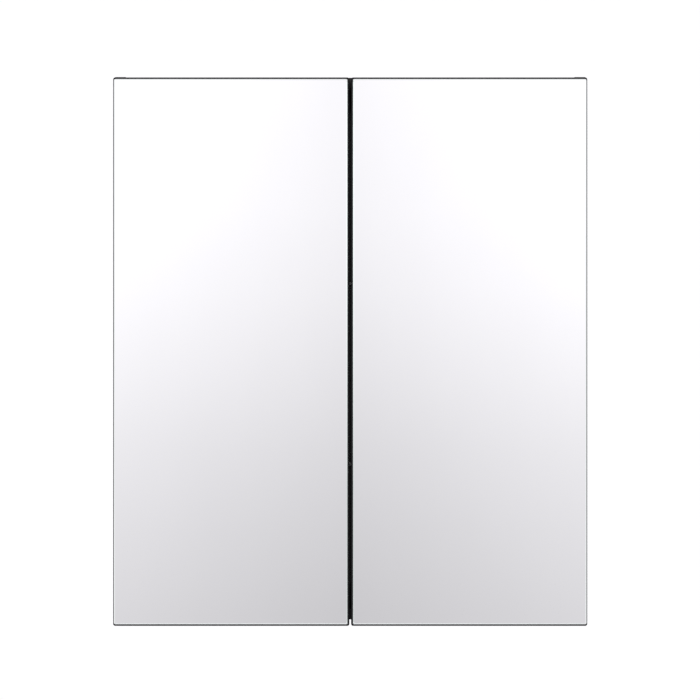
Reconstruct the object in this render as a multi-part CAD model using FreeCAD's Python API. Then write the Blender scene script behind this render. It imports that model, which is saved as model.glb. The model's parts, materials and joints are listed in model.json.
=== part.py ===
import FreeCAD, Part
import math
import os

# Wall-hung bathroom cabinet with two full-overlay mirror doors.
# Millimetres. X to the right seen from the front, +Y towards the wall, Z up.
# The origin is the middle of the rear (wall) plane, which is also the middle of the wall screws.

V = FreeCAD.Vector

# ---- driving dimensions: carcass ----
WIDTH = 650.0
HEIGHT = 750.0
DEPTH = 127.0
BOARD = 15.0
BAND = 1.0
TOP_DROP = 1.0
BACK_THICKNESS = 3.0
BACK_INLET = 6.0
GROOVE_DEPTH = 7.0
GROOVE_SLACK = 0.05
RAIL_HEIGHT = 80.0
BOARD_ROUND = 0.3
BAND_ROUND = 0.5

# ---- driving dimensions: doors ----
DOOR_GAP = 2.4
DOOR_STANDOFF = 3.0
DOOR_TOP_Z = 371.3
DOOR_BOTTOM_Z = -380.6
DOOR_CORNER_RADIUS = 2.8
DOOR_BACK_ROUND = 0.8
DOOR_FRONT_ROUND = 0.3
TAPE = 1.0
TAPE_WIDTH = 25.0
TAPE_STRIPS = 5
TAPE_MARGIN = 22.0
GLASS = 4.0
GLASS_ARRIS = 1.7
GLASS_CORNER_RADIUS = 2.0
INSET_HINGE_SIDE = 1.6
INSET_FREE_SIDE = 2.5
INSET_TOP_BOTTOM = 2.8

# ---- driving dimensions: shelves ----
SHELF = 5.0
SHELF_CENTRES_Z = (89.5, -160.5)
SHELF_FRONT_SETBACK = 9.0
SHELF_BACK_SETBACK = 4.0
SHELF_END_PLAY = 1.0
SHELF_CORNER_RADIUS = 3.0
SHELF_ARRIS = 0.5
PIN_ROWS_Y = (-98.0, -42.0)
PIN_PITCH = 50.0
PIN_HOLE_RADIUS = 2.5
PIN_HOLE_DEPTH = 9.0
PIN_REACH = 12.0
PAD = 1.0

# ---- driving dimensions: hinges ----
HINGE_CENTRES_Z = (275.0, -284.0)
CUP_RADIUS = 17.4
CUP_HOLE_RADIUS = 17.5
CUP_HOLE_DEPTH = 11.5
CUP_DEPTH = 11.3
CUP_WALL = 1.0
CUP_FLOOR = 0.8
CUP_EDGE = 3.0
PIVOT_FROM_EDGE = 7.0
PIVOT_DEPTH = 7.0
PIVOT_RADIUS = 1.25
PIVOT_PLAY = 0.05
PIVOT_HALF_LENGTH = 8.4
KNUCKLE_RADIUS = 2.3
KNUCKLE_HALF_LENGTH = 4.6
KNUCKLE_CLEARANCE = 0.3
ARM_THICKNESS = 1.6
ARM_HEIGHT = 5.2
PLATE_SCREW_SETBACK = 37.0
PLATE_SCREW_OFFSET = 16.0

# ---- driving dimensions: fasteners and fittings ----
WALL_HOLE_SPACING_X = 500.0
WALL_HOLE_SPACING_Z = 630.0
WALL_HOLE_RADIUS = 3.0
DOWEL_RADIUS = 4.0
DOWEL_IN_SIDE = 11.0
DOWEL_IN_PANEL = 19.0
DOWEL_ROWS_Y = (-100.0, -34.0)
CAM_ROW_Y = -66.0
CAM_RADIUS = 7.4
CAM_HEIGHT = 12.0
CAM_FROM_END = 24.0
RAIL_SCREW_OFFSET = 24.0
MAGNET_X = 45.0
MAGNET_RADIUS = 5.0
MAGNET_LENGTH = 14.0
BUMPER_X = 14.0
SLACK = 0.05

# ---- planes worked out from the above ----
HALF_WIDTH = WIDTH / 2
HALF_HEIGHT = HEIGHT / 2
INNER_X = HALF_WIDTH - BOARD
CARCASS_FRONT_Y = -DEPTH
PANEL_FRONT_Y = CARCASS_FRONT_Y + BAND
TOP_Z = HALF_HEIGHT - TOP_DROP
TOP_UNDER_Z = TOP_Z - BOARD
FLOOR_Z = -HALF_HEIGHT + BOARD
BACK_REAR_Y = -BOARD
BACK_FRONT_Y = BACK_REAR_Y - BACK_THICKNESS
DOOR_BACK_Y = CARCASS_FRONT_Y - DOOR_STANDOFF
DOOR_FRONT_Y = DOOR_BACK_Y - BOARD
MIRROR_BACK_Y = DOOR_FRONT_Y - TAPE
MIRROR_FRONT_Y = MIRROR_BACK_Y - GLASS
DOOR_OUTER_X = -HALF_WIDTH
DOOR_FREE_X = -DOOR_GAP / 2
CUP_X = DOOR_OUTER_X + CUP_EDGE + CUP_HOLE_RADIUS
PIVOT_X = DOOR_OUTER_X + PIVOT_FROM_EDGE
PIVOT_Y = DOOR_BACK_Y - PIVOT_DEPTH
PLATE_Y = CARCASS_FRONT_Y + PLATE_SCREW_SETBACK
TOP_MID_Z = (TOP_Z + TOP_UNDER_Z) / 2
BOTTOM_MID_Z = -HALF_HEIGHT + BOARD / 2
RAIL_CENTRES_Z = (TOP_UNDER_Z - RAIL_HEIGHT / 2, FLOOR_Z + RAIL_HEIGHT / 2)

X_AXIS = V(1, 0, 0)
Y_AXIS = V(0, 1, 0)
Z_AXIS = V(0, 0, 1)

# ---- tolerances for picking edges ----
NEAR = 1e-6
PARALLEL = 0.99


# ---- helpers: everything on one side is made for the left and mirrored for the right ----
def box(x, y, z):
    """A block between two limits on each axis."""
    (x0, x1), (y0, y1), (z0, z1) = sorted(x), sorted(y), sorted(z)
    return Part.makeBox(x1 - x0, y1 - y0, z1 - z0, V(x0, y0, z0))


def rod(radius, start, axis, length):
    """A round bar from a point along an axis; a negative length runs backwards."""
    direction = axis if length > 0 else axis * -1
    return Part.makeCylinder(radius, abs(length), start, direction)


def edges_along(shape, axis):
    """The straight edges of a shape that run along an axis."""
    return [e for e in shape.Edges if abs(e.tangentAt(e.FirstParameter).dot(axis)) > PARALLEL]


def rounded_box(x, y, z, radius):
    """A block whose four edges along Y are rounded."""
    block = box(x, y, z)
    return block.makeFillet(radius, edges_along(block, Y_AXIS))


def rim(shape, y):
    """The edges of a shape that lie wholly in the plane at y."""
    return [e for e in shape.Edges if abs(e.BoundBox.YMin - y) < NEAR and abs(e.BoundBox.YMax - y) < NEAR]


def face_rim(shape, x):
    """The edges of a shape that lie wholly in the plane at x."""
    return [e for e in shape.Edges if abs(e.BoundBox.XMin - x) < NEAR and abs(e.BoundBox.XMax - x) < NEAR]


def softened(block, radius, hidden_y):
    """A block with every edge rounded apart from those of its face at hidden_y, which something covers."""
    covered = [e.hashCode() for e in rim(block, hidden_y)]
    return block.makeFillet(radius, [e for e in block.Edges if e.hashCode() not in covered])


def softened_lengthwise(block, radius, hidden_y=None):
    """A block with its long edges along X rounded, apart from those at hidden_y."""
    long_edges = edges_along(block, X_AXIS)
    if hidden_y is not None:
        long_edges = [e for e in long_edges if abs(e.BoundBox.YMin - hidden_y) > NEAR]
    return block.makeFillet(radius, long_edges)


def cut(shape, tools):
    return shape.cut(Part.makeCompound(tools)) if tools else shape


def fuse(shapes):
    return shapes[0].fuse(shapes[1:]).removeSplitter()


def mirrored(shape):
    return shape.mirror(V(0, 0, 0), X_AXIS)


def both(shapes):
    """The left-hand shapes followed by their right-hand twins."""
    return shapes + [mirrored(s) for s in shapes]


def placed(shape, origin, direction):
    """A shape made along +Z from the origin, turned to a direction and moved."""
    shape.Placement = FreeCAD.Placement(origin, FreeCAD.Rotation(Z_AXIS, direction))
    return shape


def save(name, shapes):
    """Write one node, which may be a group of separate solids."""
    solids = [solid for shape in shapes for solid in shape.Solids]
    for solid in solids:
        if not solid.isValid() or solid.Volume <= 0:
            raise ValueError("bad solid in " + name)
    node = solids[0] if len(solids) == 1 else Part.makeCompound(solids)
    node.exportStep("parts/" + name + ".step")
    print(name, len(solids), "solids", round(sum(s.Volume for s in solids)), "mm3")


def save_pair(name, shapes):
    save(name + "_left", shapes)
    save(name + "_right", [mirrored(s) for s in shapes])


# ---- fasteners ----
RECESS_WIDTH = 0.25
RECESS_SPAN = 1.2
RECESS_DEPTH = 0.8
SCREW_TIP_LENGTH = 2.0
SCREW_TIP_RADIUS = 0.17


def cross_recess(span, depth):
    """The cross slot of a screw head whose top is at the origin."""
    width = span * RECESS_WIDTH
    arms = [(span, width), (width, span)]
    return [Part.makeBox(a, b, depth, V(-a / 2, -b / 2, 0)) for a, b in arms]


def countersunk_screw(origin, direction, shank_radius, length, head_radius):
    """A wood screw with its flat head's top at the origin."""
    head_height = head_radius - shank_radius
    tip = SCREW_TIP_LENGTH * shank_radius
    head = Part.makeCone(head_radius, shank_radius, head_height)
    shank = Part.makeCylinder(shank_radius, length - tip - head_height, V(0, 0, head_height))
    point = Part.makeCone(shank_radius, SCREW_TIP_RADIUS * shank_radius, tip, V(0, 0, length - tip))
    recess = cross_recess(RECESS_SPAN * head_radius, RECESS_DEPTH * head_height)
    return placed(cut(fuse([head, shank, point]), recess), origin, direction)


def countersink(origin, direction, shank_radius, length, head_radius):
    """The clearance hole that a countersunk screw of the same sizes sits in."""
    head_height = head_radius - shank_radius
    seat = Part.makeCone(head_radius + SLACK, shank_radius + SLACK, head_height)
    bore = Part.makeCylinder(shank_radius + SLACK, length + SLACK)
    return placed(fuse([seat, bore]), origin, direction)


# ---- carcass ----
PANEL_ENDS = ((TOP_MID_Z, 1), (BOTTOM_MID_Z, -1))
HINGE_SCREW = {"shank_radius": 1.7, "length": 14.0, "head_radius": 3.4}
CUP_SCREW = {"shank_radius": 1.7, "length": 12.0, "head_radius": 3.2}
CUP_EAR_X = CUP_X + 9.5
CUP_EAR_OFFSET = 22.5
PLATE_WING = 2.0
RAIL_SCREW_LENGTH = 50.0
RAIL_SCREW_RADIUS = 2.4
RAIL_SCREW_HEAD_RADIUS = 4.8
RAIL_SCREW_HEAD = 3.0
CAP_RADIUS = 6.4
CAP_THICKNESS = 0.9
STRIKE_PIN_RADIUS = 1.9
STRIKE_PIN_LENGTH = 9.0
MAGNET_FLANGE = 1.0
MAGNET_FLANGE_RADIUS = 6.5
MAGNET_DISH_RADIUS = 3.8
MAGNET_DISH = 0.3


def rail_screw_points():
    """Where the rail screws enter the left side panel, on its outer face."""
    rear = -BOARD / 2
    return [V(-HALF_WIDTH, rear, z + s * RAIL_SCREW_OFFSET) for z in RAIL_CENTRES_Z for s in (1, -1)]


def hinge_plate_screw_points():
    x = -INNER_X + PLATE_WING
    return [V(x, PLATE_Y, z + s * PLATE_SCREW_OFFSET) for z in HINGE_CENTRES_Z for s in (1, -1)]


def cup_screw_points():
    y = DOOR_BACK_Y + CUP_FLANGE
    return [V(CUP_EAR_X, y, z + s * CUP_EAR_OFFSET) for z in HINGE_CENTRES_Z for s in (1, -1)]


def pin_points():
    """The shelf pins of the left side: on the inner face, under each shelf."""
    drop = SHELF / 2 + PAD
    return [V(-INNER_X, y, z - drop) for z in SHELF_CENTRES_Z for y in PIN_ROWS_Y]


def side_panel():
    panel = box((-HALF_WIDTH, -INNER_X), (PANEL_FRONT_Y, 0), (-HALF_HEIGHT, HALF_HEIGHT))
    panel = softened(panel, BOARD_ROUND, PANEL_FRONT_Y)
    groove_y = (BACK_FRONT_Y - GROOVE_SLACK, BACK_REAR_Y + GROOVE_SLACK)
    groove_z = (FLOOR_Z - GROOVE_DEPTH, TOP_UNDER_Z + GROOVE_DEPTH)
    holes = [box((-INNER_X - GROOVE_DEPTH, -INNER_X), groove_y, groove_z)]
    for point in pin_points():
        for step in (-1, 0, 1):
            start = point + Z_AXIS * (step * PIN_PITCH)
            holes.append(rod(PIN_HOLE_RADIUS, start, X_AXIS, -PIN_HOLE_DEPTH))
    for point in hinge_plate_screw_points():
        holes.append(rod(HINGE_SCREW["shank_radius"] + SLACK, point, X_AXIS, -HINGE_SCREW["length"] - SLACK))
    for z, _ in PANEL_ENDS:
        holes.append(rod(CAM_BOLT_THREAD + SLACK, V(-INNER_X, CAM_ROW_Y, z), X_AXIS, -DOWEL_IN_SIDE - SLACK))
        for y in DOWEL_ROWS_Y:
            start = V(-INNER_X, y, z)
            holes.append(rod(DOWEL_RADIUS + SLACK, start, X_AXIS, -DOWEL_IN_SIDE - SLACK))
    for point in rail_screw_points():
        holes.append(rod(RAIL_SCREW_RADIUS + SLACK, point, X_AXIS, BOARD))
        holes.append(rod(RAIL_SCREW_HEAD_RADIUS + SLACK, point, X_AXIS, CAP_THICKNESS + RAIL_SCREW_HEAD))
        holes.append(rod(CAP_RADIUS + SLACK, point, X_AXIS, CAP_THICKNESS))
    return cut(panel, holes)


def cross_panel(z, outward):
    """The top panel (outward 1) or bottom panel (outward -1), between the sides."""
    inner_z = z - outward * BOARD / 2
    outer_z = z + outward * BOARD / 2
    panel = box((-INNER_X, INNER_X), (PANEL_FRONT_Y, 0), (inner_z, outer_z))
    panel = softened_lengthwise(panel, BOARD_ROUND, PANEL_FRONT_Y)
    groove_y = (BACK_FRONT_Y - GROOVE_SLACK, BACK_REAR_Y + GROOVE_SLACK)
    holes = [box((-INNER_X, INNER_X), groove_y, (inner_z, inner_z + outward * GROOVE_DEPTH))]
    one_end = [rod(CAM_RADIUS + SLACK, V(-INNER_X + CAM_FROM_END, CAM_ROW_Y, outer_z), Z_AXIS,
                   -outward * (CAM_HEIGHT + 2 * SLACK))]
    one_end.append(rod(DOWEL_RADIUS, V(-INNER_X, CAM_ROW_Y, z), X_AXIS, CAM_FROM_END))
    for y in DOWEL_ROWS_Y:
        one_end.append(rod(DOWEL_RADIUS + SLACK, V(-INNER_X, y, z), X_AXIS, DOWEL_IN_PANEL + SLACK))
    holes += both(one_end)
    if outward > 0:
        holes += both([rod(MAGNET_RADIUS + SLACK, V(-MAGNET_X, PANEL_FRONT_Y, z), Y_AXIS, MAGNET_LENGTH)])
    return cut(panel, holes)


def wall_hole_tools(y0, y1):
    xs = (-WALL_HOLE_SPACING_X / 2, WALL_HOLE_SPACING_X / 2)
    zs = (-WALL_HOLE_SPACING_Z / 2, WALL_HOLE_SPACING_Z / 2)
    return [rod(WALL_HOLE_RADIUS, V(x, y0, z), Y_AXIS, y1 - y0) for x in xs for z in zs]


def back_panel():
    half = INNER_X + BACK_INLET
    panel = box((-half, half), (BACK_FRONT_Y, BACK_REAR_Y), (FLOOR_Z - BACK_INLET, TOP_UNDER_Z + BACK_INLET))
    return cut(panel, wall_hole_tools(BACK_FRONT_Y, BACK_REAR_Y))


def hanging_rail(z):
    front = BACK_REAR_Y + GROOVE_SLACK
    rail = box((-INNER_X, INNER_X), (front, 0), (z - RAIL_HEIGHT / 2, z + RAIL_HEIGHT / 2))
    rail = softened_lengthwise(rail, BOARD_ROUND)
    depth = RAIL_SCREW_LENGTH + CAP_THICKNESS + SLACK
    near = [p for p in rail_screw_points() if abs(p.z - z) < RAIL_HEIGHT / 2]
    pilots = both([rod(RAIL_SCREW_RADIUS + SLACK, p, X_AXIS, depth) for p in near])
    return cut(rail, pilots + wall_hole_tools(front, 0))


def side_band():
    strip = box((-HALF_WIDTH, -INNER_X), (CARCASS_FRONT_Y, PANEL_FRONT_Y), (-HALF_HEIGHT, HALF_HEIGHT))
    strip = strip.makeFillet(BOARD_ROUND, edges_along(strip, Y_AXIS))
    return strip.makeFillet(BAND_ROUND, rim(strip, CARCASS_FRONT_Y))


def cross_band(z):
    strip = box((-INNER_X, INNER_X), (CARCASS_FRONT_Y, PANEL_FRONT_Y), z)
    return softened_lengthwise(strip, BAND_ROUND, PANEL_FRONT_Y)


def save_carcass():
    side = side_panel()
    save_pair("side_panel", [side])
    save("top_panel", [cross_panel(TOP_MID_Z, 1)])
    save("bottom_panel", [cross_panel(BOTTOM_MID_Z, -1)])
    save("back_panel", [back_panel()])
    for name, z in zip(("upper", "lower"), RAIL_CENTRES_Z):
        save("hanging_rail_" + name, [hanging_rail(z)])
    save_pair("side_edge_band", [side_band()])
    magnet_holes = both([rod(MAGNET_RADIUS + SLACK, V(-MAGNET_X, CARCASS_FRONT_Y, TOP_MID_Z), Y_AXIS, BAND)])
    save("top_edge_band", [cut(cross_band((TOP_UNDER_Z, TOP_Z)), magnet_holes)])
    save("bottom_edge_band", [cross_band((-HALF_HEIGHT, FLOOR_Z))])


# ---- joinery hardware ----
CAM_BOLT_THREAD = 2.5
CAM_BOLT_COLLAR = 3.6
CAM_BOLT_COLLAR_LENGTH = 1.5
CAM_BOLT_SHAFT = 2.0
CAM_BOLT_HEAD = 3.3
CAM_BOLT_HEAD_LENGTH = 3.0
CAM_CHANNEL = 3.6
CAM_CHANNEL_PAST_CENTRE = 1.0
CAM_RECESS = {"span": 8.0, "depth": 2.2}
CAM_COVER_RADIUS = 8.5
CAM_COVER = 0.8
CAM_COVER_ROUND = 0.5
DOWEL_CHAMFER = 0.8
RAIL_SCREW_TIP = 3.0
RAIL_SCREW_TIP_RADIUS = 1.0
RAIL_SCREW_RECESS = {"span": 5.0, "depth": 2.0}


def cam_bolt(z):
    """Screwed into the side; its head sits in the cam."""
    face = V(-INNER_X, CAM_ROW_Y, z)
    thread = rod(CAM_BOLT_THREAD, face, X_AXIS, -DOWEL_IN_SIDE)
    collar = rod(CAM_BOLT_COLLAR, face, X_AXIS, CAM_BOLT_COLLAR_LENGTH)
    shaft = rod(CAM_BOLT_SHAFT, face, X_AXIS, CAM_FROM_END)
    head = rod(CAM_BOLT_HEAD, face + X_AXIS * CAM_FROM_END, X_AXIS, -CAM_BOLT_HEAD_LENGTH)
    return fuse([thread, collar, shaft, head])


def cam_lock(z, outward):
    centre = V(-INNER_X + CAM_FROM_END, CAM_ROW_Y, z + outward * BOARD / 2)
    drum = rod(CAM_RADIUS, centre, Z_AXIS, -outward * CAM_HEIGHT)
    start = V(centre.x - CAM_RADIUS, CAM_ROW_Y, z)
    channel = rod(CAM_CHANNEL, start, X_AXIS, CAM_RADIUS + CAM_CHANNEL_PAST_CENTRE)
    recess = [placed(tool, centre, Z_AXIS * -outward) for tool in cross_recess(**CAM_RECESS)]
    return cut(drum, [channel] + recess)


def cam_cover(z, outward):
    disc_z = z + outward * BOARD / 2
    disc = rod(CAM_COVER_RADIUS, V(-INNER_X + CAM_FROM_END, CAM_ROW_Y, disc_z), Z_AXIS, outward * CAM_COVER)
    top = [e for e in disc.Edges if abs(e.BoundBox.ZMin - disc_z) > CAM_COVER / 2]
    top = [e for e in top if abs(e.BoundBox.ZMax - e.BoundBox.ZMin) < NEAR]
    return disc.makeFillet(CAM_COVER_ROUND, top)


def dowel(y, z):
    start = V(-INNER_X - DOWEL_IN_SIDE, y, z)
    peg = rod(DOWEL_RADIUS, start, X_AXIS, DOWEL_IN_SIDE + DOWEL_IN_PANEL)
    ends = [e for e in peg.Edges if abs(e.BoundBox.XMax - e.BoundBox.XMin) < NEAR]
    return peg.makeChamfer(DOWEL_CHAMFER, ends)


def rail_screw(point):
    """A confirmat screw with a flat cylindrical head, driven through the side into a rail."""
    start = point + X_AXIS * CAP_THICKNESS
    head = rod(RAIL_SCREW_HEAD_RADIUS, start, X_AXIS, RAIL_SCREW_HEAD)
    straight = RAIL_SCREW_LENGTH - RAIL_SCREW_TIP
    shank = rod(RAIL_SCREW_RADIUS, start, X_AXIS, straight)
    tip_start = start + X_AXIS * straight
    tip = Part.makeCone(RAIL_SCREW_RADIUS, RAIL_SCREW_TIP_RADIUS, RAIL_SCREW_TIP, tip_start, X_AXIS)
    recess = [placed(tool, start, X_AXIS) for tool in cross_recess(**RAIL_SCREW_RECESS)]
    return cut(fuse([head, shank, tip]), recess)


def save_joinery():
    save("cam_bolts", both([cam_bolt(z) for z, _ in PANEL_ENDS]))
    save("cam_locks", both([cam_lock(z, outward) for z, outward in PANEL_ENDS]))
    save("cam_covers", both([cam_cover(z, outward) for z, outward in PANEL_ENDS]))
    save("dowels", both([dowel(y, z) for z, _ in PANEL_ENDS for y in DOWEL_ROWS_Y]))
    save("rail_screws", both([rail_screw(p) for p in rail_screw_points()]))
    caps = [rod(CAP_RADIUS, p, X_AXIS, CAP_THICKNESS - SLACK) for p in rail_screw_points()]
    save("rail_screw_caps", both(caps))


# ---- shelves ----
PEG_RADIUS = 3.0
PEG_COLLAR_RADIUS = 4.2
PEG_COLLAR = 1.5
PEG_CHAMFER = 0.5
PAD_RADIUS = 3.4
PAD_SETBACK = 1.0


def shelf(z):
    half = INNER_X - SHELF_END_PLAY
    y = (CARCASS_FRONT_Y + SHELF_FRONT_SETBACK, BACK_FRONT_Y - SHELF_BACK_SETBACK)
    slab = box((-half, half), y, (z - SHELF / 2, z + SHELF / 2))
    slab = slab.makeFillet(SHELF_CORNER_RADIUS, edges_along(slab, Z_AXIS))
    flat = [e for e in slab.Edges if e.BoundBox.ZMax - e.BoundBox.ZMin < NEAR]
    return slab.makeChamfer(SHELF_ARRIS, flat)


def shelf_pin(point):
    """A pin in the side panel with a flat-topped peg; the flat carries the pad and the glass."""
    shank = rod(PIN_HOLE_RADIUS - SLACK, point, X_AXIS, SLACK - PIN_HOLE_DEPTH)
    collar = rod(PEG_COLLAR_RADIUS, point, X_AXIS, PEG_COLLAR)
    peg = rod(PEG_RADIUS, point, X_AXIS, PIN_REACH)
    peg = peg.makeChamfer(PEG_CHAMFER, face_rim(peg, point.x + PIN_REACH))
    size = PEG_COLLAR_RADIUS + PEG_COLLAR
    reach = PIN_REACH + PEG_COLLAR
    above = box((point.x, point.x + reach), (point.y - size, point.y + size), (point.z, point.z + size))
    return fuse([shank, cut(fuse([collar, peg]), [above])])


def shelf_pad(point):
    return rod(PAD_RADIUS, point + X_AXIS * (PIN_REACH - PAD_RADIUS - PAD_SETBACK), Z_AXIS, PAD)


def save_shelves():
    for name, z in zip(("upper", "lower"), SHELF_CENTRES_Z):
        save("shelf_" + name, [shelf(z)])
    save("shelf_pins", both([shelf_pin(p) for p in pin_points()]))
    save("shelf_pin_pads", both([shelf_pad(p) for p in pin_points()]))


# ---- doors ----
STRIKE_RADIUS = 7.0
STRIKE = 1.6
STRIKE_ROUND = 0.4
BUMPER_RADIUS = 4.5
BUMPER = 2.4
BUMPER_ROUND = 1.4


def door_outline(inset, y, radius):
    x = (DOOR_OUTER_X + inset, DOOR_FREE_X - inset)
    return rounded_box(x, y, (DOOR_BOTTOM_Z + inset, DOOR_TOP_Z - inset), radius)


def door_board():
    board = door_outline(BAND, (DOOR_FRONT_Y, DOOR_BACK_Y), DOOR_CORNER_RADIUS - BAND)
    cup_centres = [V(CUP_X, DOOR_BACK_Y, z) for z in HINGE_CENTRES_Z]
    holes = [rod(CUP_HOLE_RADIUS, centre, Y_AXIS, -CUP_HOLE_DEPTH) for centre in cup_centres]
    holes += [countersink(point, Y_AXIS * -1, **CUP_SCREW) for point in cup_screw_points()]
    strike = V(-MAGNET_X, DOOR_BACK_Y, TOP_MID_Z)
    holes.append(rod(STRIKE_PIN_RADIUS + SLACK, strike, Y_AXIS, -STRIKE_PIN_LENGTH - SLACK))
    return cut(board, holes)


def door_edge_band():
    """Plastic edging all round the door board, with softened arrises."""
    y = (DOOR_FRONT_Y, DOOR_BACK_Y)
    block = door_outline(0, y, DOOR_CORNER_RADIUS)
    block = block.makeFillet(DOOR_BACK_ROUND, rim(block, DOOR_BACK_Y))
    block = block.makeFillet(DOOR_FRONT_ROUND, rim(block, DOOR_FRONT_Y))
    return block.cut(door_outline(BAND, y, DOOR_CORNER_RADIUS - BAND))


def mirror_pane():
    x = (DOOR_OUTER_X + INSET_HINGE_SIDE, DOOR_FREE_X - INSET_FREE_SIDE)
    z = (DOOR_BOTTOM_Z + INSET_TOP_BOTTOM, DOOR_TOP_Z - INSET_TOP_BOTTOM)
    pane = rounded_box(x, (MIRROR_FRONT_Y, MIRROR_BACK_Y), z, GLASS_CORNER_RADIUS)
    return pane.makeChamfer(GLASS_ARRIS, rim(pane, MIRROR_FRONT_Y))


def mirror_tape():
    """Upright strips of foam tape between the door board and the pane."""
    first = DOOR_OUTER_X + TAPE_MARGIN
    pitch = (DOOR_FREE_X - DOOR_OUTER_X - 2 * TAPE_MARGIN - TAPE_WIDTH) / (TAPE_STRIPS - 1)
    z = (DOOR_BOTTOM_Z + TAPE_MARGIN, DOOR_TOP_Z - TAPE_MARGIN)
    starts = [first + i * pitch for i in range(TAPE_STRIPS)]
    return [box((x, x + TAPE_WIDTH), (MIRROR_BACK_Y, DOOR_FRONT_Y), z) for x in starts]


def door_bumper(z):
    """A soft dot on the door's back that lands on the carcass front."""
    dot = rod(BUMPER_RADIUS, V(-BUMPER_X, DOOR_BACK_Y, z), Y_AXIS, BUMPER)
    return dot.makeFillet(BUMPER_ROUND, rim(dot, DOOR_BACK_Y + BUMPER))


def strike_plate():
    """A steel disc with a barbless pin pressed into the door board."""
    centre = V(-MAGNET_X, DOOR_BACK_Y, TOP_MID_Z)
    disc = rod(STRIKE_RADIUS, centre, Y_AXIS, STRIKE)
    disc = disc.makeFillet(STRIKE_ROUND, rim(disc, DOOR_BACK_Y + STRIKE))
    return fuse([disc, rod(STRIKE_PIN_RADIUS, centre, Y_AXIS, -STRIKE_PIN_LENGTH)])


def magnet_catch():
    """A barrel magnet in the top panel's front edge."""
    front = V(-MAGNET_X, CARCASS_FRONT_Y, TOP_MID_Z)
    barrel = rod(MAGNET_RADIUS, front, Y_AXIS, MAGNET_LENGTH)
    flange = rod(MAGNET_FLANGE_RADIUS, front, Y_AXIS, -MAGNET_FLANGE)
    dish = rod(MAGNET_DISH_RADIUS, front - Y_AXIS * MAGNET_FLANGE, Y_AXIS, MAGNET_DISH)
    return cut(fuse([barrel, flange]), [dish])


def save_doors():
    save_pair("door_board", [door_board()])
    save_pair("door_edge_band", [door_edge_band()])
    save_pair("mirror_tape", mirror_tape())
    save_pair("mirror", [mirror_pane()])
    save_pair("door_bumpers", [door_bumper(z) for z in (TOP_MID_Z, BOTTOM_MID_Z)])
    save_pair("strike_plate", [strike_plate()])
    save("magnet_catches", both([magnet_catch()]))


# ---- hinges: a cup in the door, turning on a pin in a curved arm that is screwed to the side ----
CUP_FLANGE = 1.2
CUP_FLANGE_RADIUS = 19.0
CUP_FLANGE_CLIP = 3.0
CUP_EAR_RADIUS = 6.5
CUP_ROUND = 0.4
BOSS_REACH = 2.6
BOSS_GAP = 0.2
PLATE_ROUND = 0.5
RIDGE_HALF = 6.3
RIDGE_TOP = 5.1
ARM_BEND = 3.2
ARM_OVERHANG = 1.0
BEND_MIDDLE = 1 - math.sqrt(0.5)
RIDGE_FRONT_Y = PLATE_Y - 22.0
RIDGE_REAR_Y = PLATE_Y + 22.0
WING_HALF = 24.0
WING_WIDTH = 16.0
CHANNEL_HALF = 8.0
CHANNEL_FOOT = 2.3
CHANNEL_PLAY = 0.2
SHOULDER = 5.0
CLAMP_SCREW_Y = PLATE_Y + 15.0
TRIM_SCREW_Y = PLATE_Y - 15.0
CLAMP_RADIUS = 2.0
CLAMP_HEAD_RADIUS = 4.0
CLAMP_HEAD = 2.2
CLAMP_HEAD_ROUND = 0.5
CLAMP_SLOT_HALF = 3.0
CLAMP_SLOT_PLAY = 0.2
CLAMP_HOLE_FLOOR = 0.5
CLAMP_TIP_ABOVE_FACE = 1.0
CLAMP_RECESS = {"span": 5.0, "depth": 1.5}
TRIM_RADIUS = 2.5
TRIM_PROUD = 0.6
TRIM_DIMPLE = 1.0
TRIM_SUNK = 0.9
TRIM_RECESS = {"span": 3.4, "depth": 1.2}


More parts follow.
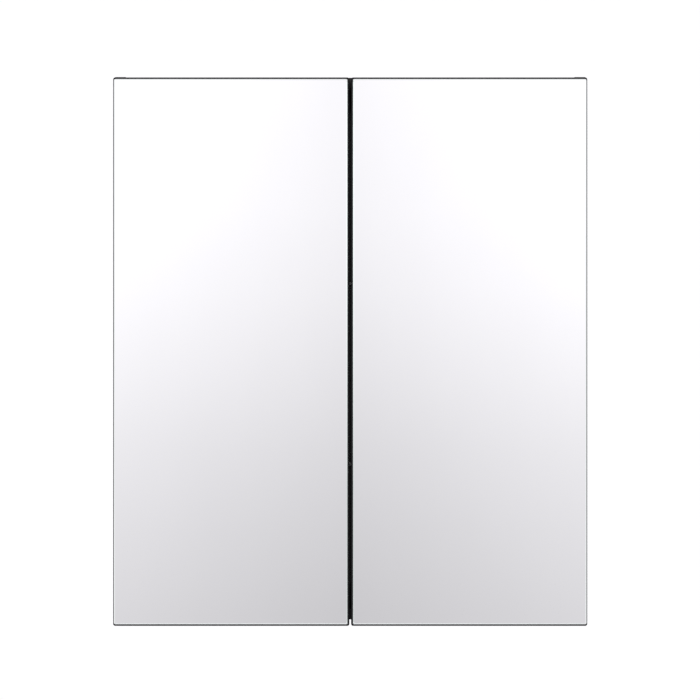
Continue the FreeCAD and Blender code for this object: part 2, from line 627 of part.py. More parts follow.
def hinge_cup(z):
    mouth = DOOR_BACK_Y
    shell = rod(CUP_RADIUS, V(CUP_X, mouth, z), Y_AXIS, -CUP_DEPTH)
    flange = rod(CUP_FLANGE_RADIUS, V(CUP_X, mouth, z), Y_AXIS, CUP_FLANGE)
    clip_x = DOOR_OUTER_X + CUP_FLANGE_CLIP
    flange_y = (mouth, mouth + CUP_FLANGE)
    flange_z = (z - CUP_FLANGE_RADIUS, z + CUP_FLANGE_RADIUS)
    flange = cut(flange, [box((clip_x - CUP_FLANGE_RADIUS, clip_x), flange_y, flange_z)])
    ear_z = (z - CUP_EAR_OFFSET, z + CUP_EAR_OFFSET)
    bridge = box((CUP_EAR_X - CUP_EAR_RADIUS, CUP_EAR_X + CUP_EAR_RADIUS), flange_y, ear_z)
    discs = [rod(CUP_EAR_RADIUS, V(CUP_EAR_X, mouth, end), Y_AXIS, CUP_FLANGE) for end in ear_z]
    ears = fuse([bridge] + discs)
    plate = fuse([part.makeFillet(CUP_ROUND, rim(part, mouth + CUP_FLANGE)) for part in (flange, ears)])
    floor_y = mouth - CUP_DEPTH + CUP_FLOOR
    bowl_radius = CUP_RADIUS - CUP_WALL
    bowl = rod(bowl_radius, V(CUP_X, floor_y, z), Y_AXIS, mouth + CUP_FLANGE - floor_y)
    cup = cut(fuse([shell, plate]), [bowl])
    lip = [e for e in rim(cup, mouth + CUP_FLANGE) if abs(e.Length - 2 * math.pi * bowl_radius) < 0.1]
    cup = cup.makeFillet(CUP_ROUND, lip)
    boss_x = (DOOR_OUTER_X, PIVOT_X + BOSS_REACH)
    boss_y = (floor_y - CUP_FLOOR / 2, PIVOT_Y + BOSS_REACH)
    near = KNUCKLE_HALF_LENGTH + BOSS_GAP
    within = rod(bowl_radius + CUP_WALL / 2, V(CUP_X, boss_y[0], z), Y_AXIS, boss_y[1] - boss_y[0])
    bosses = [box(boss_x, boss_y, (z + s * near, z + s * CUP_RADIUS)).common(within) for s in (1, -1)]
    bore = rod(PIVOT_RADIUS, V(PIVOT_X, PIVOT_Y, z - PIVOT_HALF_LENGTH), Z_AXIS, 2 * PIVOT_HALF_LENGTH)
    seats = [countersink(V(CUP_EAR_X, mouth + CUP_FLANGE, end), Y_AXIS * -1, **CUP_SCREW) for end in ear_z]
    room = rod(KNUCKLE_RADIUS + KNUCKLE_CLEARANCE, V(PIVOT_X, PIVOT_Y, z - near), Z_AXIS, 2 * near)
    return cut(fuse([cup] + bosses), [bore, room] + seats)


def hinge_pin(z):
    return rod(PIVOT_RADIUS, V(PIVOT_X, PIVOT_Y, z - PIVOT_HALF_LENGTH), Z_AXIS, 2 * PIVOT_HALF_LENGTH)


def hinge_arm(z):
    """Knuckle, curved neck out of the cup, and a channel that straddles the mounting plate."""
    low = z - KNUCKLE_HALF_LENGTH
    width = 2 * KNUCKLE_HALF_LENGTH
    neck_y = PIVOT_Y - KNUCKLE_RADIUS
    top_x = -INNER_X + ARM_HEIGHT + ARM_THICKNESS
    under_x = -INNER_X + ARM_HEIGHT
    knuckle = rod(KNUCKLE_RADIUS, V(PIVOT_X, PIVOT_Y, low), Z_AXIS, width)
    heel = [V(PIVOT_X, neck_y, low), V(top_x - ARM_BEND, neck_y, low)]
    middle = ARM_BEND * BEND_MIDDLE
    corner = [V(top_x - middle, neck_y + middle, low), V(top_x, neck_y + ARM_BEND, low)]
    inner_bend = ARM_BEND - ARM_THICKNESS
    inner_y = neck_y + ARM_THICKNESS
    inner = [V(under_x, inner_y + inner_bend, low)]
    inner_middle = inner_bend * BEND_MIDDLE
    inner.append(V(under_x - inner_middle, inner_y + inner_middle, low))
    inner.append(V(under_x - inner_bend, inner_y, low))
    outline = [Part.LineSegment(heel[0], heel[1]), Part.Arc(heel[1], corner[0], corner[1])]
    outline.append(Part.LineSegment(corner[1], V(top_x, RIDGE_REAR_Y, low)))
    outline.append(Part.LineSegment(V(top_x, RIDGE_REAR_Y, low), V(under_x, RIDGE_REAR_Y, low)))
    outline.append(Part.LineSegment(V(under_x, RIDGE_REAR_Y, low), inner[0]))
    outline.append(Part.Arc(inner[0], inner[1], inner[2]))
    outline.append(Part.LineSegment(inner[2], V(PIVOT_X, inner_y, low)))
    outline.append(Part.LineSegment(V(PIVOT_X, inner_y, low), heel[0]))
    strip = Part.Face(Part.Wire([edge.toShape() for edge in outline])).extrude(V(0, 0, width))
    front_y = RIDGE_FRONT_Y - ARM_OVERHANG
    foot_x = -INNER_X + CHANNEL_FOOT
    channel = box((foot_x, top_x), (front_y, RIDGE_REAR_Y), (z - CHANNEL_HALF, z + CHANNEL_HALF))
    folds = [e for e in edges_along(channel, Y_AXIS) if abs(e.BoundBox.XMin - top_x) < NEAR]
    channel = channel.makeFillet(ARM_THICKNESS, folds)
    cheek = RIDGE_HALF + CHANNEL_PLAY
    hollow = box((foot_x, under_x), (front_y, RIDGE_REAR_Y), (z - cheek, z + cheek))
    channel = cut(channel, [hollow])
    half = CHANNEL_HALF - ARM_THICKNESS
    taper = [(front_y - SHOULDER, -KNUCKLE_HALF_LENGTH), (front_y, -half), (front_y, half)]
    taper.append((front_y - SHOULDER, KNUCKLE_HALF_LENGTH))
    corners = [V(under_x, y, z + offset) for y, offset in taper]
    shoulder = Part.Face(Part.makePolygon(corners + corners[:1])).extrude(X_AXIS * ARM_THICKNESS)
    bore = rod(PIVOT_RADIUS + PIVOT_PLAY, V(PIVOT_X, PIVOT_Y, low), Z_AXIS, width)
    slot_y = (CLAMP_SCREW_Y - CLAMP_SLOT_HALF, CLAMP_SCREW_Y + CLAMP_SLOT_HALF)
    slot_half_z = CLAMP_RADIUS + CLAMP_SLOT_PLAY
    slot = box((under_x, top_x), slot_y, (z - slot_half_z, z + slot_half_z))
    trim = rod(TRIM_RADIUS + SLACK, V(under_x, TRIM_SCREW_Y, z), X_AXIS, ARM_THICKNESS)
    return cut(fuse([knuckle, strip, channel, shoulder]), [bore, slot, trim])


def hinge_plate(z):
    """A cross-shaped mounting plate: a ridge for the arm and two screwed wings."""
    face = -INNER_X
    wing_y = (PLATE_Y - WING_WIDTH / 2, PLATE_Y + WING_WIDTH / 2)
    wing_end = WING_HALF - WING_WIDTH / 2
    wing = box((face, face + PLATE_WING), wing_y, (z - wing_end, z + wing_end))
    tips = [rod(WING_WIDTH / 2, V(face, PLATE_Y, z + s * wing_end), X_AXIS, PLATE_WING) for s in (1, -1)]
    wing = fuse([wing] + tips)
    wing = wing.makeFillet(PLATE_ROUND, face_rim(wing, face + PLATE_WING))
    ridge = box((face, face + RIDGE_TOP), (RIDGE_FRONT_Y, RIDGE_REAR_Y), (z - RIDGE_HALF, z + RIDGE_HALF))
    ridge = ridge.makeFillet(PLATE_ROUND, face_rim(ridge, face + RIDGE_TOP))
    points = [p for p in hinge_plate_screw_points() if abs(p.z - z) < WING_HALF]
    seats = [countersink(p, X_AXIS * -1, **HINGE_SCREW) for p in points]
    tapped = rod(CLAMP_RADIUS + SLACK, V(face + CLAMP_HOLE_FLOOR, CLAMP_SCREW_Y, z), X_AXIS, RIDGE_TOP)
    dimple = rod(TRIM_RADIUS + SLACK, V(face + RIDGE_TOP, TRIM_SCREW_Y, z), X_AXIS, -TRIM_DIMPLE)
    return cut(fuse([wing, ridge]), seats + [tapped, dimple])


def clamp_screw(z):
    """Holds the arm down on the plate, through the arm's slot."""
    top = V(-INNER_X + ARM_HEIGHT + ARM_THICKNESS + CLAMP_HEAD, CLAMP_SCREW_Y, z)
    head = rod(CLAMP_HEAD_RADIUS, top, X_AXIS, -CLAMP_HEAD)
    head = head.makeFillet(CLAMP_HEAD_ROUND, face_rim(head, top.x))
    shank = rod(CLAMP_RADIUS, top, X_AXIS, -(CLAMP_HEAD + ARM_THICKNESS + ARM_HEIGHT - CLAMP_TIP_ABOVE_FACE))
    recess = [placed(tool, top, X_AXIS * -1) for tool in cross_recess(**CLAMP_RECESS)]
    return cut(fuse([head, shank]), recess)


def trim_screw(z):
    """The grub screw that sets the door's side gap."""
    top = V(-INNER_X + ARM_HEIGHT + ARM_THICKNESS + TRIM_PROUD, TRIM_SCREW_Y, z)
    grub = rod(TRIM_RADIUS, top, X_AXIS, -(TRIM_PROUD + ARM_THICKNESS + ARM_HEIGHT - RIDGE_TOP + TRIM_SUNK))
    return cut(grub, [placed(tool, top, X_AXIS * -1) for tool in cross_recess(**TRIM_RECESS)])


def save_hinges():
    makers = {"cup": hinge_cup, "pin": hinge_pin, "arm": hinge_arm, "plate": hinge_plate}
    for name, z in zip(("upper", "lower"), HINGE_CENTRES_Z):
        for part, make in makers.items():
            shape = make(z)
            save("hinge_" + part + "_left_" + name, [shape])
            save("hinge_" + part + "_right_" + name, [mirrored(shape)])
    outward = X_AXIS * -1
    forward = Y_AXIS * -1
    plate_screws = [countersunk_screw(p, outward, **HINGE_SCREW) for p in hinge_plate_screw_points()]
    cup_screws = [countersunk_screw(p, forward, **CUP_SCREW) for p in cup_screw_points()]
    save("hinge_plate_screws", both(plate_screws))
    save("hinge_clamp_screws", both([clamp_screw(z) for z in HINGE_CENTRES_Z]))
    save("hinge_trim_screws", both([trim_screw(z) for z in HINGE_CENTRES_Z]))
    save_pair("hinge_cup_screws", cup_screws)


os.makedirs("parts", exist_ok=True)
save_carcass()
save_joinery()
save_shelves()
save_doors()
save_hinges()
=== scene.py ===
import json
import math

import bmesh
import bpy
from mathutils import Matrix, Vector


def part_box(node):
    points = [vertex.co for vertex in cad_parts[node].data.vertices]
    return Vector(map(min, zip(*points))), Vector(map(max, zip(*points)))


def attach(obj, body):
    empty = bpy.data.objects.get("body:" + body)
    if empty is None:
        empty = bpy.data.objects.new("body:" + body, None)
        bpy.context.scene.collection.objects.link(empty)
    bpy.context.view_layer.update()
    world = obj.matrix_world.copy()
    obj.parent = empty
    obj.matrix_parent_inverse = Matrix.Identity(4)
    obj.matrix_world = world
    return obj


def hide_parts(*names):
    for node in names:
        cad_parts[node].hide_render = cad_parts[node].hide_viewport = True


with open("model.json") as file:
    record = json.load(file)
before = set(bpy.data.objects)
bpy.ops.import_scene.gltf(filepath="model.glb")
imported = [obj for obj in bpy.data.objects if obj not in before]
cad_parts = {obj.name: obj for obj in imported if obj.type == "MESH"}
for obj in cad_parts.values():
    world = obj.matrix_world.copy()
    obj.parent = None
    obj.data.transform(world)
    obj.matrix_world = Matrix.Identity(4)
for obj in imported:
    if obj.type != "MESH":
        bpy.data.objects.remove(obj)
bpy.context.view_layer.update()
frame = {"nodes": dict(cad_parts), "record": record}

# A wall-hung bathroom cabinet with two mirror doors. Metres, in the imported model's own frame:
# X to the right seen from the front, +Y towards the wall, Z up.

MM = 0.001
SIDES = ("left", "right")

# ---- camera ----
CAMERA_AT = Vector((-0.0003, -2.25, -0.0024))
CAMERA_LENS = 78.97
SENSOR_WIDTH = 36.0

# ---- floor ----
FLOOR_Z = -1.45
FLOOR_HALF = 3.9
FLOOR_SOLID_RADIUS = 1.6

# ---- lamps: place, size and power ----
LAMPS = {"key_light": ((-2.0, -2.3, 2.1), 1.8, 38.0),
         "fill_light": ((2.6, -1.4, 0.7), 1.6, 16.0),
         "rear_light": ((1.2, 2.4, 1.8), 1.8, 24.0)}

# ---- world: brightness by direction, a unit vector ----
WORLD_TINT = (0.994, 0.986, 1.006, 1.0)
BEHIND_LEVEL = 1.02
AROUND_LEVEL = 0.91
# Y over which the front side gives way to the surroundings, and these to what is straight behind
FRONT_EDGE = (-0.6, -0.15)
BEHIND_EDGE = (0.87, 0.95)
# Z and X up to which the closed mirrors show the front side, both ways
SHOWN_RISE = 0.17
SHOWN_SWEEP = 0.155
# brightness from the bottom of SHOWN_RISE, 0, to its top, 1
FRONT_LEVELS = [(0.0, 0.747), (0.16, 0.82), (0.31, 0.90), (0.46, 1.0), (0.61, 1.093), (0.77, 1.168),
                (1.0, 1.225)]
FRONT_PEAK = 1.25
CAMERA_SHADE = 0.158
# Z over which the front side darkens towards the ceiling
CEILING_EDGE = (0.2, 0.5)
CEILING_LEVEL = 0.66

# ---- mirror panes ----
PANE_CORNER = 2.0 * MM
PANE_ARRIS = 1.7 * MM
PANE_EASE = 0.12 * MM
FACE_EASE = 0.6 * PANE_EASE
CORNER_STEPS = 8
SMALLEST_CORNER = 0.2 * MM
SHARP_ABOVE = math.radians(12)

# ---- where finishes change on one part ----
REAR_SKIN = 0.15 * MM
FACING_COSINE = 0.9
GROUND_BORDER = 0.9 * MM
MAGNET_FLANGE_RADIUS = 6.5 * MM
MAGNET_DISH_RADIUS = 3.85 * MM
MAGNET_FACE_DEPTH = 0.5 * MM

# ---- finishes: texture scales are in cycles to the metre ----
EVEN = (1.0, 1.0, 1.0)
PORE_STRETCH = {"X": (0.035, 1.0, 1.0), "Z": (1.0, 1.0, 0.035)}
FLAKE_SCALE = 620.0
DOOR_BAND_GLOSS = 0.12
CARCASS_BAND_GLOSS = 0.4
NICKEL = {"dark": (0.50, 0.48, 0.45), "light": (0.62, 0.60, 0.57), "roughness": (0.2, 0.34),
          "grain_scale": 1200.0, "depth": 0.02 * MM}
ZINC = {"dark": (0.48, 0.50, 0.53), "light": (0.66, 0.68, 0.70), "roughness": (0.24, 0.42),
        "grain_scale": 1500.0, "depth": 0.02 * MM}
CAST = {"dark": (0.36, 0.36, 0.37), "light": (0.50, 0.50, 0.51), "roughness": (0.42, 0.62),
        "grain_scale": 1000.0, "depth": 0.08 * MM}


# ---------------------------------------------------------------- node trees
class Tree:
    """A short way to write a node tree: add() makes a node, sets its inputs and returns it."""

    # A Mix node repeats its socket names for each type of data, so its colour sockets go by number.
    COLOUR_A = 6
    COLOUR_B = 7
    COLOUR_RESULT = 2

    def __init__(self, tree):
        self.tree = tree
        tree.nodes.clear()

    def add(self, kind, inputs=None, **settings):
        node = self.tree.nodes.new("ShaderNode" + kind)
        for key, value in settings.items():
            setattr(node, key, value)
        for key, value in (inputs or {}).items():
            self.put(node.inputs[key], value)
        return node

    def put(self, socket, value):
        if isinstance(value, bpy.types.NodeSocket):
            self.tree.links.new(value, socket)
        else:
            socket.default_value = value

    def math(self, operation, a, b=0.0):
        return self.add("Math", {0: a, 1: b}, operation=operation).outputs[0]

    def plus(self, a, b):
        return self.math("ADD", a, b)

    def times(self, a, b):
        return self.math("MULTIPLY", a, b)

    def length(self, a, b):
        """How long the diagonal of a and b is."""
        return self.math("SQRT", self.plus(self.times(a, a), self.times(b, b)))

    def between(self, value, low, high, out_low=0.0, out_high=1.0, smooth=False):
        """Maps low..high to out_low..out_high and clamps."""
        kind = "SMOOTHSTEP" if smooth else "LINEAR"
        numbers = {"Value": value, "From Min": low, "From Max": high, "To Min": out_low, "To Max": out_high}
        return self.add("MapRange", numbers, interpolation_type=kind).outputs["Result"]

    def choose(self, mask, off, on):
        """off where the mask is 0 and on where it is 1."""
        return self.between(mask, 0.0, 1.0, off, on)

    def ramp(self, factor, stops):
        node = self.add("ValToRGB", {"Fac": factor})
        elements = node.color_ramp.elements
        while len(elements) < len(stops):
            elements.new(0.5)
        for element, (position, colour) in zip(elements, stops):
            element.position = position
            element.color = (*colour, 1.0)
        return node.outputs["Color"]

    def tint(self, factor, dark, light, low=0.3, high=0.7):
        """Goes from dark to light as the factor goes from low to high."""
        return self.ramp(factor, [(low, dark), (high, light)])

    def mix(self, factor, a, b):
        node = self.add("Mix", {"Factor": factor}, data_type="RGBA")
        self.put(node.inputs[self.COLOUR_A], a if isinstance(a, bpy.types.NodeSocket) else (*a, 1.0))
        self.put(node.inputs[self.COLOUR_B], b if isinstance(b, bpy.types.NodeSocket) else (*b, 1.0))
        return node.outputs[self.COLOUR_RESULT]

    def split(self, vector):
        """The X, Y and Z of a vector."""
        return self.add("SeparateXYZ", {"Vector": vector}).outputs

    def where(self):
        """Object coordinates in metres."""
        return self.add("TexCoord").outputs["Object"]

    def place(self, stretch=EVEN):
        """Object coordinates in metres, stretched along the axes."""
        return self.add("Mapping", {"Vector": self.where(), "Scale": stretch}).outputs["Vector"]

    def noise(self, vector, scale, detail=3.0, roughness=0.5):
        numbers = {"Vector": vector, "Scale": scale, "Detail": detail, "Roughness": roughness}
        return self.add("TexNoise", numbers).outputs["Fac"]

    def cells(self, vector, scale, output="Distance"):
        return self.add("TexVoronoi", {"Vector": vector, "Scale": scale}, feature="F1").outputs[output]

    def bump(self, height, distance, strength):
        inputs = {"Height": height, "Distance": distance, "Strength": strength}
        return self.add("Bump", inputs).outputs["Normal"]

    def surface(self, inputs):
        shader = self.add("BsdfPrincipled", inputs)
        self.add("OutputMaterial", {"Surface": shader.outputs["BSDF"]})


def material(name, recipe, **options):
    """A node material made by a recipe, a function that fills in a Tree."""
    made = bpy.data.materials.new(name)
    made.use_nodes = True
    recipe(Tree(made.node_tree), **options)
    return made


# ---------------------------------------------------------------- masks
def rear_edges(tree):
    """1 on the faces that lie in the wall plane."""
    return tree.math("GREATER_THAN", tree.split(tree.where())["Y"], -REAR_SKIN)


def facing(axis, sign):
    """A mask of the faces whose normal points along an axis; sign 0 means both ways."""
    def mask(tree):
        along = tree.split(tree.add("TexCoord").outputs["Normal"])[axis]
        along = tree.math("ABSOLUTE", along) if sign == 0 else tree.times(along, sign)
        return tree.math("GREATER_THAN", along, FACING_COSINE)
    return mask


# ---------------------------------------------------------------- materials
def chipboard(tree, place):
    """Colour and height of raw chipboard: pressed flakes of pale and darker wood."""
    flakes = tree.cells(place, FLAKE_SCALE, output="Color")
    grey = tree.add("RGBToBW", {"Color": flakes}).outputs["Val"]
    colour = tree.ramp(grey, [(0.0, (0.16, 0.09, 0.045)), (0.45, (0.40, 0.26, 0.14)),
                              (1.0, (0.62, 0.46, 0.28))])
    return colour, tree.cells(place, FLAKE_SCALE)


def melamine(tree, along="Z", raw=None):
    """Matt black melamine with a fine pressed grain and faint pores that run along one axis.
    raw is a mask of the faces that show the board's core."""
    place = tree.place()
    grain = tree.noise(place, scale=1400.0, detail=4.0, roughness=0.62)
    swell = tree.noise(place, scale=260.0, detail=2.0)
    haze = tree.noise(place, scale=7.0)
    pores = tree.noise(tree.place(PORE_STRETCH[along]), scale=240.0, detail=5.0, roughness=0.6)
    tone = tree.plus(tree.times(grain, 0.5), tree.times(pores, 0.5))
    black = tree.tint(tone, (0.012, 0.012, 0.0125), (0.022, 0.022, 0.023), 0.4, 0.6)
    roughness = tree.between(tree.plus(haze, tree.times(pores, 0.8)), 0.6, 1.2, 0.38, 0.6)
    height = tree.plus(tree.plus(grain, tree.times(swell, 0.5)), tree.times(pores, 0.5))
    if raw is not None:
        bare = raw(tree)
        core, flakes = chipboard(tree, place)
        black = tree.mix(bare, black, core)
        roughness = tree.choose(bare, roughness, 0.88)
        height = tree.plus(height, tree.times(tree.times(flakes, bare), 3.0))
    tree.surface({"Base Color": black, "Roughness": roughness, "Specular IOR Level": 0.2,
                  "Normal": tree.bump(height, 0.06 * MM, 0.7)})


def back_board(tree):
    """Hardboard painted black on its room side and bare brown on its wall side."""
    place = tree.place()
    bare = facing("Y", 1)(tree)
    fibres = tree.noise(tree.place((1.0, 1.0, 2.5)), scale=700.0, detail=6.0, roughness=0.7)
    brown = tree.tint(fibres, (0.13, 0.065, 0.03), (0.27, 0.15, 0.075))
    paint = tree.tint(tree.noise(place, scale=500.0), (0.010, 0.010, 0.011), (0.020, 0.020, 0.021))
    flow = tree.times(tree.noise(place, scale=150.0, detail=2.0), 0.25)
    tree.surface({"Base Color": tree.mix(bare, paint, brown),
                  "Roughness": tree.choose(bare, 0.18, 0.8), "Specular IOR Level": 0.5,
                  "Normal": tree.bump(tree.choose(bare, flow, fibres), 0.08 * MM, 0.6)})


def edge_band(tree, gloss):
    """Black plastic edging with faint lines along its length."""
    lines = tree.noise(tree.place((1.0, 1.0, 0.02)), scale=2600.0)
    cross_lines = tree.noise(tree.place((0.02, 1.0, 1.0)), scale=2600.0)
    both = tree.plus(lines, cross_lines)
    black = tree.tint(tree.between(both, 0.7, 1.3), (0.004, 0.004, 0.0045), (0.009, 0.009, 0.0095), 0.0, 1.0)
    tree.surface({"Base Color": black, "Roughness": tree.between(both, 0.7, 1.3, 0.4, 0.52),
                  "Specular IOR Level": gloss, "Normal": tree.bump(both, 0.03 * MM, 0.5)})


def silver(tree):
    """The silvered face of the pane, with the faintest haze of cleaning."""
    haze = tree.noise(tree.place((1.0, 1.0, 0.35)), scale=9.0, detail=5.0, roughness=0.6)
    tree.surface({"Base Color": tree.tint(haze, (0.932, 0.928, 0.943), (0.944, 0.940, 0.955)),
                  "Metallic": 1.0, "Roughness": tree.between(haze, 0.35, 0.75, 0.008, 0.03)})


def polished_edge(tree):
    """The pane's polished arris, which shows the silver through clear glass."""
    waves = tree.noise(tree.place(), scale=160.0, detail=2.0)
    tree.surface({"Base Color": tree.tint(waves, (0.93, 0.97, 0.96), (0.97, 0.99, 0.98)),
                  "Metallic": 1.0, "Roughness": 0.07, "Normal": tree.bump(waves, 0.02 * MM, 0.3)})


def glass_side(tree):
    """The ground side of the pane: green glass seen through its thickness."""
    grind = tree.noise(tree.place((1.0, 6.0, 1.0)), scale=900.0)
    tree.surface({"Base Color": tree.tint(grind, (0.055, 0.12, 0.10), (0.10, 0.19, 0.16)),
                  "Roughness": tree.between(grind, 0.3, 0.7, 0.18, 0.4),
                  "Coat Weight": 0.5, "Coat Roughness": 0.1,
                  "Normal": tree.bump(grind, 0.03 * MM, 0.4)})


def mirror_paint(tree):
    """The grey lacquer that seals the silvering."""
    flow = tree.noise(tree.place(), scale=120.0)
    tree.surface({"Base Color": tree.tint(flow, (0.16, 0.17, 0.18), (0.20, 0.21, 0.22)),
                  "Roughness": 0.55, "Normal": tree.bump(flow, 0.05 * MM, 0.4)})


def shelf_glass(tree):
    """Clear float glass, polished in front and ground at its rear and ends. Its faint green comes from
    the thickness looked through. Both shelves have the same X and Y limits."""
    smear = tree.noise(tree.place((1.0, 2.0, 1.0)), scale=14.0, detail=4.0)
    clear = tree.between(smear, 0.45, 0.8, 0.0, 0.035)
    axes = tree.split(tree.where())
    lo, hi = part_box("shelf_upper")
    at_front = tree.math("LESS_THAN", axes["Y"], lo.y + GROUND_BORDER)
    at_rear = tree.math("GREATER_THAN", axes["Y"], hi.y - GROUND_BORDER)
    at_ends = tree.math("GREATER_THAN", tree.math("ABSOLUTE", axes["X"]), hi.x - GROUND_BORDER)
    roughness = tree.choose(tree.math("MAXIMUM", at_rear, at_ends), tree.choose(at_front, clear, 0.1), 0.55)
    shader = tree.add("BsdfPrincipled", {"Base Color": (0.98, 1.0, 0.99, 1.0), "IOR": 1.52,
                                         "Transmission Weight": 1.0, "Roughness": roughness})
    volume = tree.add("VolumeAbsorption", {"Color": (0.50, 0.86, 0.74, 1.0), "Density": 20.0})
    tree.add("OutputMaterial", {"Surface": shader.outputs["BSDF"], "Volume": volume.outputs["Volume"]})


def metal(tree, dark, light, roughness, grain_scale, depth):
    """Plated or cast metal: broad stains in a narrow range of colour over a fine grain."""
    place = tree.place()
    grain = tree.noise(place, grain_scale, detail=5.0, roughness=0.65)
    stain = tree.noise(place, grain_scale / 12)
    tree.surface({"Base Color": tree.tint(stain, dark, light), "Metallic": 1.0,
                  "Roughness": tree.between(tree.plus(grain, stain), 0.7, 1.3, *roughness),
                  "Normal": tree.bump(grain, depth, 0.5)})


def black_plastic(tree):
    """Moulded plastic with a fine spark-eroded texture."""
    grain = tree.noise(tree.place(), scale=1800.0)
    tree.surface({"Base Color": tree.tint(grain, (0.010, 0.010, 0.010), (0.020, 0.020, 0.020)),
                  "Roughness": tree.between(grain, 0.3, 0.7, 0.36, 0.48),
                  "Specular IOR Level": 0.4, "Normal": tree.bump(grain, 0.05 * MM, 0.6)})


def magnet_barrel(tree):
    """A black barrel whose shallow dish shows the magnet's own plated face."""
    x, y, z = tree.split(tree.where())
    lo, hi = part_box("magnet_catches")
    across = tree.math("SUBTRACT", tree.math("ABSOLUTE", x), hi.x - MAGNET_FLANGE_RADIUS)
    up = tree.math("SUBTRACT", z, (lo.z + hi.z) / 2)
    in_dish = tree.times(tree.math("LESS_THAN", tree.length(across, up), MAGNET_DISH_RADIUS),
                         tree.math("LESS_THAN", y, lo.y + MAGNET_FACE_DEPTH))
    grain = tree.noise(tree.place(), scale=1500.0)
    tree.surface({"Base Color": tree.mix(in_dish, (0.02, 0.02, 0.02), (0.55, 0.55, 0.56)),
                  "Metallic": in_dish, "Roughness": tree.between(grain, 0.3, 0.7, 0.3, 0.45),
                  "Normal": tree.bump(grain, 0.03 * MM, 0.4)})


def beech(tree):
    """Turned beech with short dark flecks along the grain."""
    fleck = tree.noise(tree.place((0.12, 1.0, 1.0)), scale=900.0, detail=4.0)
    tree.surface({"Base Color": tree.tint(fleck, (0.38, 0.24, 0.13), (0.62, 0.45, 0.28), 0.3, 0.65),
                  "Roughness": 0.7, "Normal": tree.bump(fleck, 0.05 * MM, 0.5)})


def silicone(tree):
    """Milky translucent silicone."""
    cloud = tree.noise(tree.place(), scale=400.0, detail=2.0)
    tree.surface({"Base Color": tree.tint(cloud, (0.78, 0.80, 0.80), (0.88, 0.89, 0.89)),
                  "Transmission Weight": 0.55, "IOR": 1.41, "Roughness": 0.38,
                  "Normal": tree.bump(cloud, 0.02 * MM, 0.4)})


def foam(tree):
    """Closed-cell foam tape."""
    cells = tree.cells(tree.place(), 2200.0)
    tree.surface({"Base Color": tree.tint(cells, (0.45, 0.45, 0.43), (0.66, 0.66, 0.64), 0.0, 0.5),
                  "Roughness": 0.9, "Normal": tree.bump(cells, 0.1 * MM, 0.7)})


def floor_paint(tree):
    """Pale matt paint that fades out towards the floor's rim, as a studio sweep does."""
    place = tree.place()
    tone = tree.noise(place, scale=1.5)
    axes = tree.split(place)
    reach = tree.length(axes["X"], axes["Y"])
    tree.surface({"Base Color": tree.tint(tone, (0.69, 0.69, 0.70), (0.72, 0.72, 0.73)),
                  "Roughness": 0.7, "Specular IOR Level": 0.2,
                  "Alpha": tree.between(reach, FLOOR_SOLID_RADIUS, FLOOR_HALF, 1.0, 0.0, smooth=True)})


def slot_materials():
    """One material for each material slot of the record."""
    return {
        "black_board": material("black_melamine", melamine),
        "back_board": material("painted_hardboard", back_board),
        "edge_band": material("black_edge_banding", edge_band, gloss=DOOR_BAND_GLOSS),
        "mirror_glass": material("mirror_silver", silver),
        "foam_tape": material("foam_tape", foam),
        "shelf_glass": material("shelf_glass", shelf_glass),
        "clear_silicone": material("clear_silicone", silicone),
        "nickel_steel": material("nickel_plated_steel", metal, **NICKEL),
        "zinc_steel": material("zinc_plated_steel", metal, **ZINC),
        "zinc_alloy": material("cast_zinc", metal, **CAST),
        "magnet_barrel": material("magnet_barrel", magnet_barrel),
        "black_plastic": material("black_plastic", black_plastic),
        "beech": material("beech", beech),
    }


def carcass_materials():
    """The carcass boards and bands whose finish differs from that of their slot, by node."""
    upright = material("melamine_upright_raw_rear", melamine, raw=rear_edges)
    level = material("melamine_level_raw_rear", melamine, along="X", raw=rear_edges)
    rail = material("melamine_rail_raw_edges", melamine, along="X", raw=facing("Z", 0))
    front = material("black_edge_banding_carcass", edge_band, gloss=CARCASS_BAND_GLOSS)
    return {"side_panel_left": upright, "side_panel_right": upright,
            "top_panel": level, "bottom_panel": level,
            "hanging_rail_upper": rail, "hanging_rail_lower": rail,
            "top_edge_band": front, "bottom_edge_band": front,
            "side_edge_band_left": front, "side_edge_band_right": front}


def dress_cad_nodes(by_slot):
    """Gives every CAD node its own material or that of its slot."""
    by_node = carcass_materials()
    for part in frame["record"]["subparts"]:
        mesh = frame["nodes"][part["node"]].data
        mesh.materials.clear()
        mesh.materials.append(by_node.get(part["node"], by_slot[part["material_slot"]]))


# ---------------------------------------------------------------- pieces
def rounded_outline(lo, hi, inset, radius):
    """Points round a rectangle in XZ with arcs at its corners, pulled in by inset."""
    r = max(radius - inset, SMALLEST_CORNER)
    x0, x1, z0, z1 = lo.x + inset + r, hi.x - inset - r, lo.z + inset + r, hi.z - inset - r
    points = []
    for quarter, (cx, cz) in enumerate([(x1, z1), (x0, z1), (x0, z0), (x1, z0)]):
        for step in range(CORNER_STEPS + 1):
            angle = math.pi / 2 * (quarter + step / CORNER_STEPS)
            points.append((cx + r * math.cos(angle), cz + r * math.sin(angle)))
    return points


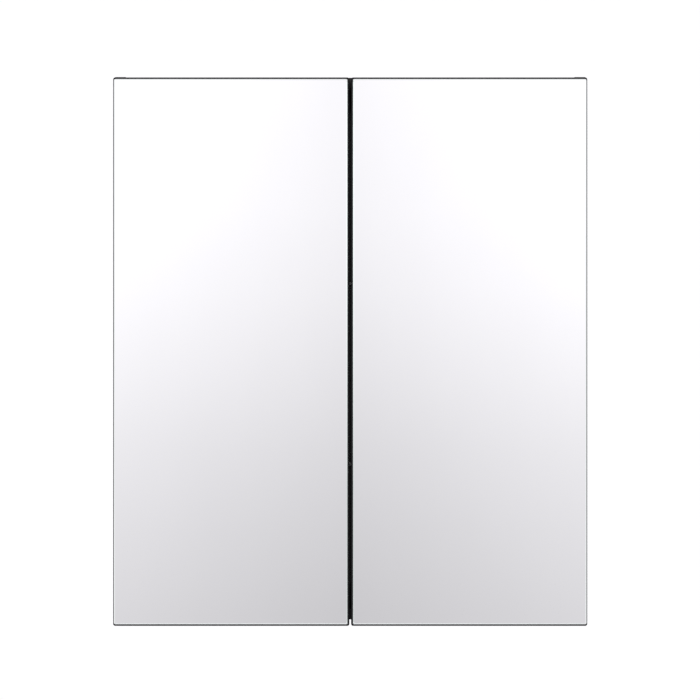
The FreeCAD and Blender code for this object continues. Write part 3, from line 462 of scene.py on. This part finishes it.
def lofted(name, rings, strips, caps, materials):
    """A closed shell through rings of points. strips[i] is the material index of the strip after ring i,
    and caps holds those of the flat first and last faces."""
    shell = bmesh.new()
    loops = [[shell.verts.new(point) for point in ring] for ring in rings]
    count = len(rings[0])
    for near, far, index in zip(loops, loops[1:], strips):
        for i in range(count):
            after = (i + 1) % count
            face = shell.faces.new((near[i], near[after], far[after], far[i]))
            face.material_index = index
            face.smooth = True
    for loop, index in zip((loops[0][::-1], loops[-1]), caps):
        cap = shell.faces.new(loop)
        cap.material_index = index
        cap.smooth = False
    bmesh.ops.recalc_face_normals(shell, faces=shell.faces)
    mesh = bpy.data.meshes.new(name)
    shell.to_mesh(mesh)
    shell.free()
    mesh.set_sharp_from_angle(angle=SHARP_ABOVE)
    for each in materials:
        mesh.materials.append(each)
    piece = bpy.data.objects.new(name, mesh)
    bpy.context.scene.collection.objects.link(piece)
    return piece


def pane_finishes(face):
    """A pane's materials, in the order that mirror_pane counts them."""
    return [material("mirror_paint", mirror_paint), material("pane_side", glass_side),
            material("pane_arris", polished_edge), face]


def mirror_pane(side, finishes):
    """The silvered pane: painted back, ground sides, a polished arris and eased corners between them."""
    lo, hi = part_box("mirror_" + side)
    depth = hi.y - lo.y
    profile = [(depth, PANE_EASE), (depth - PANE_EASE, 0.0), (PANE_ARRIS + PANE_EASE, 0.0),
               (PANE_ARRIS - PANE_EASE, PANE_EASE), (FACE_EASE, PANE_ARRIS - PANE_EASE),
               (0.0, PANE_ARRIS + FACE_EASE)]
    paint, ground, arris, face = range(4)
    rings = []
    for y, inset in profile:
        rings.append([(x, lo.y + y, z) for x, z in rounded_outline(lo, hi, inset, PANE_CORNER)])
    strips = (ground, ground, arris, arris, arris)
    piece = lofted("mirror_pane_" + side, rings, strips, (paint, face), finishes)
    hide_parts("mirror_" + side)
    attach(piece, "door_" + side)


# ---------------------------------------------------------------- studio
def front_level(tree, x, z):
    """Brightness of the front side: it rises with height over what the closed mirrors show, and falls
    towards the middle and the ceiling. The ramp holds its levels as fractions of FRONT_PEAK."""
    stops = [(at, (level / FRONT_PEAK, level / FRONT_PEAK, level / FRONT_PEAK)) for at, level in FRONT_LEVELS]
    rising = tree.ramp(tree.between(z, -SHOWN_RISE, SHOWN_RISE), stops)
    rising = tree.times(tree.add("RGBToBW", {"Color": rising}).outputs["Val"], FRONT_PEAK)
    shade = tree.between(tree.math("ABSOLUTE", x), 0.0, SHOWN_SWEEP, CAMERA_SHADE, 0.0)
    ceiling = tree.between(z, *CEILING_EDGE, 1.0, CEILING_LEVEL, smooth=True)
    return tree.times(tree.times(rising, tree.math("SUBTRACT", 1.0, shade)), ceiling)


def studio_world():
    """A pale studio, pure white straight behind the cabinet and graded on its front side."""
    world = bpy.data.worlds.new("studio")
    bpy.context.scene.world = world
    world.use_nodes = True
    tree = Tree(world.node_tree)
    x, y, z = tree.split(tree.add("TexCoord").outputs["Generated"])
    is_front = tree.between(y, *FRONT_EDGE, 1.0, 0.0, smooth=True)
    elsewhere = tree.between(y, *BEHIND_EDGE, AROUND_LEVEL, BEHIND_LEVEL, smooth=True)
    levels = {"Factor": is_front, "A": elsewhere, "B": front_level(tree, x, z)}
    level = tree.add("Mix", levels, data_type="FLOAT").outputs["Result"]
    background = tree.add("Background", {"Color": WORLD_TINT, "Strength": level})
    tree.add("OutputWorld", {"Surface": background.outputs["Background"]})


def pale_floor():
    """A plain pale floor, well below the cabinet, which hangs at its usual height."""
    half = FLOOR_HALF
    mesh = bpy.data.meshes.new("floor")
    corners = [(x * half, y * half, FLOOR_Z) for x, y in ((-1, -1), (1, -1), (1, 1), (-1, 1))]
    mesh.from_pydata(corners, [], [(0, 1, 2, 3)])
    mesh.materials.append(material("pale_floor", floor_paint))
    floor = bpy.data.objects.new("floor", mesh)
    bpy.context.scene.collection.objects.link(floor)


def soft_light(name, place, size, power):
    """A large lamp aimed at the middle of the cabinet, which the mirrors don't show."""
    data = bpy.data.lights.new(name, "AREA")
    data.size = size
    data.energy = power
    lamp = bpy.data.objects.new(name, data)
    lamp.location = place
    lamp.rotation_euler = (-Vector(place)).to_track_quat("-Z", "Y").to_euler()
    lamp.visible_glossy = False
    bpy.context.scene.collection.objects.link(lamp)


def photo_camera():
    """A level camera square to the front."""
    data = bpy.data.cameras.new("camera")
    data.lens = CAMERA_LENS
    data.sensor_width = SENSOR_WIDTH
    camera = bpy.data.objects.new("camera", data)
    camera.location = CAMERA_AT
    camera.rotation_euler = (math.pi / 2, 0, 0)
    bpy.context.scene.collection.objects.link(camera)
    bpy.context.scene.camera = camera


photo_camera()
by_slot = slot_materials()
dress_cad_nodes(by_slot)
finishes = pane_finishes(by_slot["mirror_glass"])
for side in SIDES:
    mirror_pane(side, finishes)
studio_world()
pale_floor()
for name, (place, size, power) in LAMPS.items():
    soft_light(name, place, size, power)
bpy.context.scene.view_settings.view_transform = "Standard"
